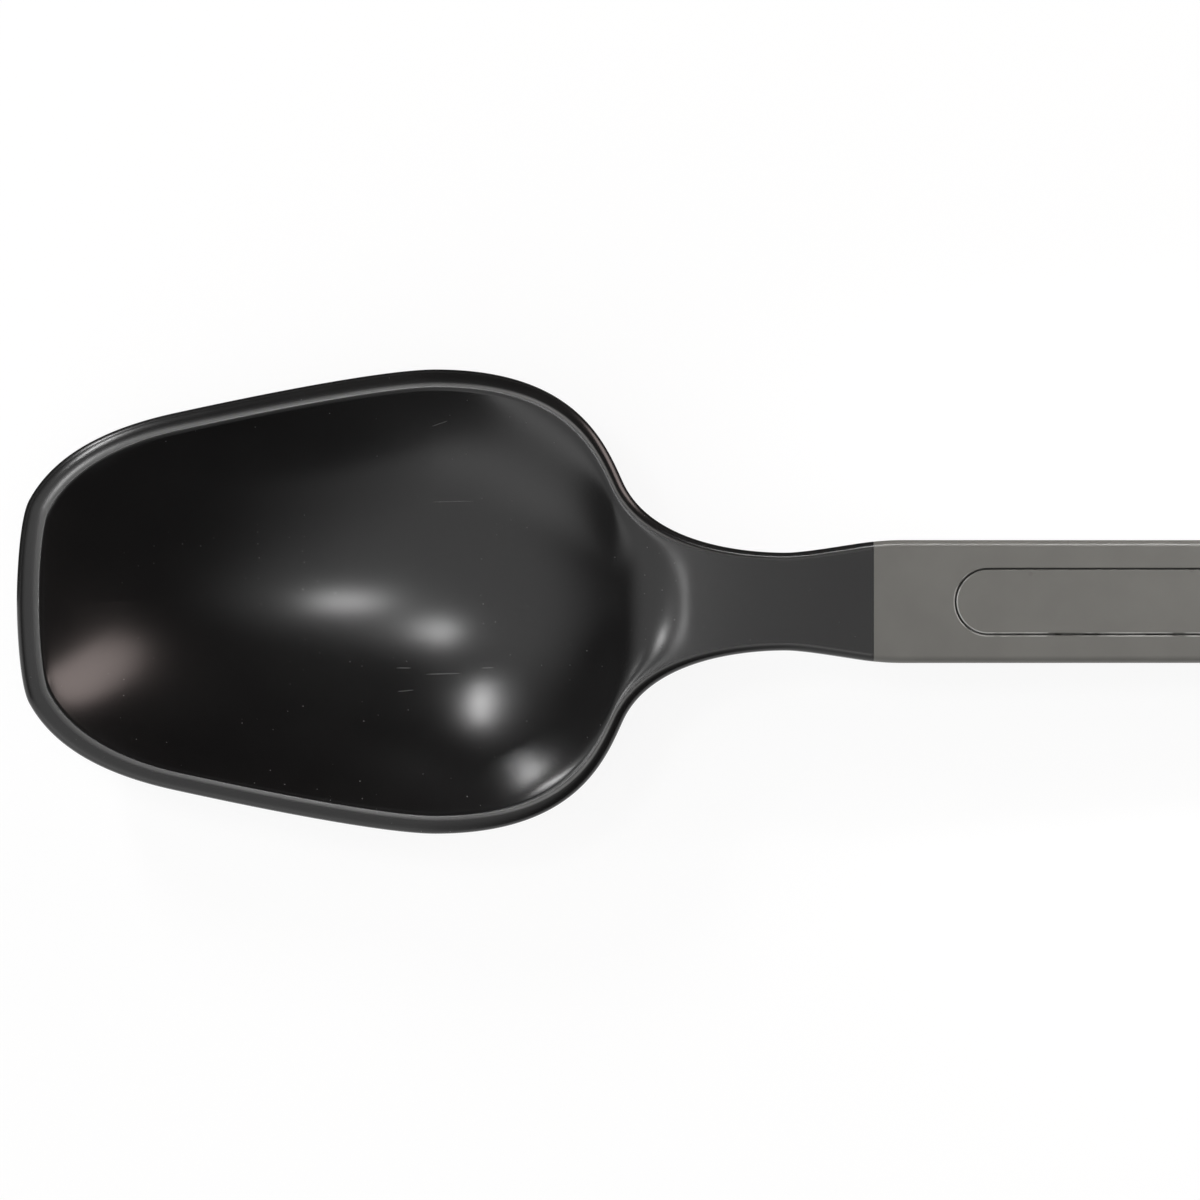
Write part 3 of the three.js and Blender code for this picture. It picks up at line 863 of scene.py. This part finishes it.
def white_floor():
    """A pale floor that looks white from above and keeps the object's shadow."""
    material = bpy.data.materials.new("pale_floor")
    material.use_nodes = True
    tree = material.node_tree
    tree.nodes.clear()
    path = add(tree, "ShaderNodeLightPath")
    seen = math_of(tree, "MAXIMUM", path.outputs["Is Camera Ray"], path.outputs["Is Glossy Ray"])
    seen = math_of(tree, "MAXIMUM", seen, path.outputs["Is Transmission Ray"])
    glow = add(tree, "ShaderNodeEmission", {"Color": (1, 1, 1, 1), "Strength": FLOOR_GLOW})
    shade = add(tree, "ShaderNodeBsdfDiffuse", {"Color": (FLOOR_SHADE,) * 3 + (1,)})
    white = add(tree, "ShaderNodeAddShader", {0: glow.outputs[0], 1: shade.outputs[0]})
    plain = add(tree, "ShaderNodeBsdfDiffuse", {"Color": (FLOOR_COLOUR,) * 3 + (1,)})
    shown = add(tree, "ShaderNodeMixShader", {0: seen, 1: plain.outputs[0], 2: white.outputs[0]})
    add(tree, "ShaderNodeOutputMaterial", {"Surface": shown.outputs[0]})
    return material


def stage_plate(name, low, high, level, material):
    """A flat rectangle of the stage between two opposite corners."""
    corners = ((low[0], low[1]), (high[0], low[1]), (high[0], high[1]), (low[0], high[1]))
    mesh = bpy.data.meshes.new(name)
    mesh.from_pydata([(x, y, level) for x, y in corners], [], [(0, 1, 2, 3)])
    mesh.materials.append(material)
    plate = bpy.data.objects.new(name, mesh)
    bpy.context.scene.collection.objects.link(plate)
    return plate


def make_floor():
    stage_plate("floor", (-FLOOR_REACH, -FLOOR_REACH), (FLOOR_REACH, FLOOR_REACH), 0.0, white_floor())


def make_dark_card():
    """A black card beside the spoon, which only its reflections show."""
    material = bpy.data.materials.new("black_card")
    material.use_nodes = True
    material.node_tree.nodes["Principled BSDF"].inputs["Base Color"].default_value = CARD_COLOUR
    low, high = (-CARD_HALF_LENGTH, CARD_NEAR), (CARD_HALF_LENGTH, CARD_FAR)
    card = stage_plate("dark_card", low, high, CARD_LEVEL, material)
    card.visible_camera = False
    card.visible_diffuse = False
    card.visible_shadow = False
    card.visible_transmission = False


# Studio walls, by the parts of the direction that they lie in
WALL_GLOW = 0.98
DARK_GLOW = 0.03
WALL_EDGE = (0.75, 0.1)
WALL_SLANT = 0.42
FAR_EDGE = (0.5, 0.05)
FAR_SLANT = 0.4
WALL_FOOT = (0.17, 0.62)
NEAR_SIDE = (-0.25, -0.65)
NEAR_GLOW = 1.6
HORIZON = (0.035, 0.02)


def make_world():
    """Soft studio walls: a large pale one on the tip's side, dark elsewhere, and white at the horizon."""
    world = bpy.data.worlds.new("studio")
    world.use_nodes = True
    bpy.context.scene.world = world
    tree = world.node_tree
    tree.nodes.clear()
    coords = add(tree, "ShaderNodeTexCoord").outputs["Generated"]
    way = add(tree, "ShaderNodeSeparateXYZ", {"Vector": coords})
    near = math_of(tree, "MAXIMUM", math_of(tree, "MULTIPLY", way.outputs["Y"], -WALL_SLANT), 0.0)
    wall = ramp(tree, math_of(tree, "ADD", way.outputs["X"], near), *WALL_EDGE)
    far = math_of(tree, "MULTIPLY_ADD", way.outputs["X"], FAR_SLANT, way.outputs["Y"])
    far_side = ramp(tree, far, *FAR_EDGE)
    raised = ramp(tree, way.outputs["Z"], *WALL_FOOT)
    near_side = ramp(tree, way.outputs["Y"], *NEAR_SIDE)
    low = ramp(tree, way.outputs["Z"], *reversed(WALL_FOOT), 0.0, NEAR_GLOW - 1)
    near_reach = math_of(tree, "MULTIPLY_ADD", near_side, low, near_side)
    reach = math_of(tree, "MAXIMUM", raised, near_reach)
    fill = math_of(tree, "MULTIPLY", math_of(tree, "MULTIPLY", wall, far_side), reach)
    strength = math_of(tree, "MULTIPLY_ADD", fill, WALL_GLOW, DARK_GLOW)
    strength = math_of(tree, "MAXIMUM", strength, ramp(tree, way.outputs["Z"], *HORIZON))
    background = add(tree, "ShaderNodeBackground", {"Color": (1, 1, 1, 1), "Strength": strength})
    add(tree, "ShaderNodeOutputWorld", {"Surface": background.outputs[0]})


# Lamps: each faces its target from a direction in degrees, with its brightness as seen from there
WHITE = (1.0, 1.0, 1.0)
WARM = (1.0, 0.84, 0.8)
HALF_TURN = 180
GRIP_LIT_SHARE = 0.55
BOWL_MIDDLE = laid_point(DEEPEST_X, 0, -BOWL_DEPTH)
GRIP_SIDE = laid_point(SEAM_X + GRIP_LENGTH * GRIP_LIT_SHARE, GRIP_WIDTH / 2, 0)
Lamp = namedtuple(
    "Lamp",
    "name target azimuth polar distance size radiance colour spread roll",
    defaults=(WHITE, HALF_TURN, 0),
)
LAMPS = (
    Lamp("overhead", BOWL_MIDDLE, 0, 0.8, 0.36, (0.065, 0.09), 24, spread=18),
    Lamp("upper_left", BOWL_MIDDLE, 143, 22, 1.2, (0.2, 0.19), 20),
    Lamp("left_box", BOWL_MIDDLE, 123.5, 57.5, 1.4, (0.12, 0.5), 36, roll=-30),
    Lamp("left_low", BOWL_MIDDLE, 121, 86, 1.6, (0.26, 0.2), 36),
    Lamp("right_box", BOWL_MIDDLE, 28, 74.5, 1.5, (0.6, 0.95), 5.3, colour=WARM, roll=30),
    Lamp("edge_strip", GRIP_SIDE, 90, 50, 0.14, (0.26, 0.02), 46, spread=40),
)


def focus(spread):
    """How much brighter a light gets on its axis when its spread is narrowed."""
    half = math.radians(spread) / 2
    return math.tan(half) / (math.tan(half) - half) if spread < HALF_TURN else 1


def softbox(lamp):
    """An area light from a row of the table."""
    azimuth, polar = math.radians(lamp.azimuth), math.radians(lamp.polar)
    flat = math.sin(polar)
    way = Vector((flat * math.cos(azimuth), flat * math.sin(azimuth), math.cos(polar)))
    width, height = lamp.size
    face = math.pi / 4 * width * height
    light = bpy.data.lights.new(lamp.name, "AREA")
    light.shape = "ELLIPSE"
    light.size, light.size_y = width, height
    light.color = lamp.colour
    light.spread = math.radians(lamp.spread)
    light.energy = lamp.radiance * math.pi * face / focus(lamp.spread)
    holder = bpy.data.objects.new(lamp.name, light)
    holder.location = lamp.target + way * lamp.distance
    turned = way.to_track_quat("Z", "Y") @ Quaternion((0, 0, 1), math.radians(lamp.roll))
    holder.rotation_euler = turned.to_euler()
    holder.visible_camera = False
    bpy.context.scene.collection.objects.link(holder)


# Camera: straight down, at the photograph's scale and place
PHOTO_WIDTH = 1200
BOWL_WIDTH_PX = 464.2
TIP_PX = 16.7
AXIS_PX = 601.6
CAMERA_HEIGHT = 1.5
CAMERA_REACH = 100.0
SENSOR = 36.0


def make_camera():
    per_pixel = BOWL_WIDTH * MM / BOWL_WIDTH_PX
    tip = laid_point(0, 0, crest_level(0) - rim_height(0))
    camera = bpy.data.cameras.new("camera")
    camera.sensor_width = SENSOR
    camera.lens = SENSOR * CAMERA_HEIGHT / (PHOTO_WIDTH * per_pixel)
    camera.clip_end = CAMERA_REACH
    holder = bpy.data.objects.new("camera", camera)
    holder.location = (
        tip.x + (PHOTO_WIDTH / 2 - TIP_PX) * per_pixel,
        (AXIS_PX - PHOTO_WIDTH / 2) * per_pixel,
        tip.z + CAMERA_HEIGHT,
    )
    bpy.context.scene.collection.objects.link(holder)
    bpy.context.scene.camera = holder


make_floor()
make_dark_card()
make_world()
for lamp in LAMPS:
    softbox(lamp)
make_camera()

bpy.context.scene.view_settings.view_transform = "Standard"
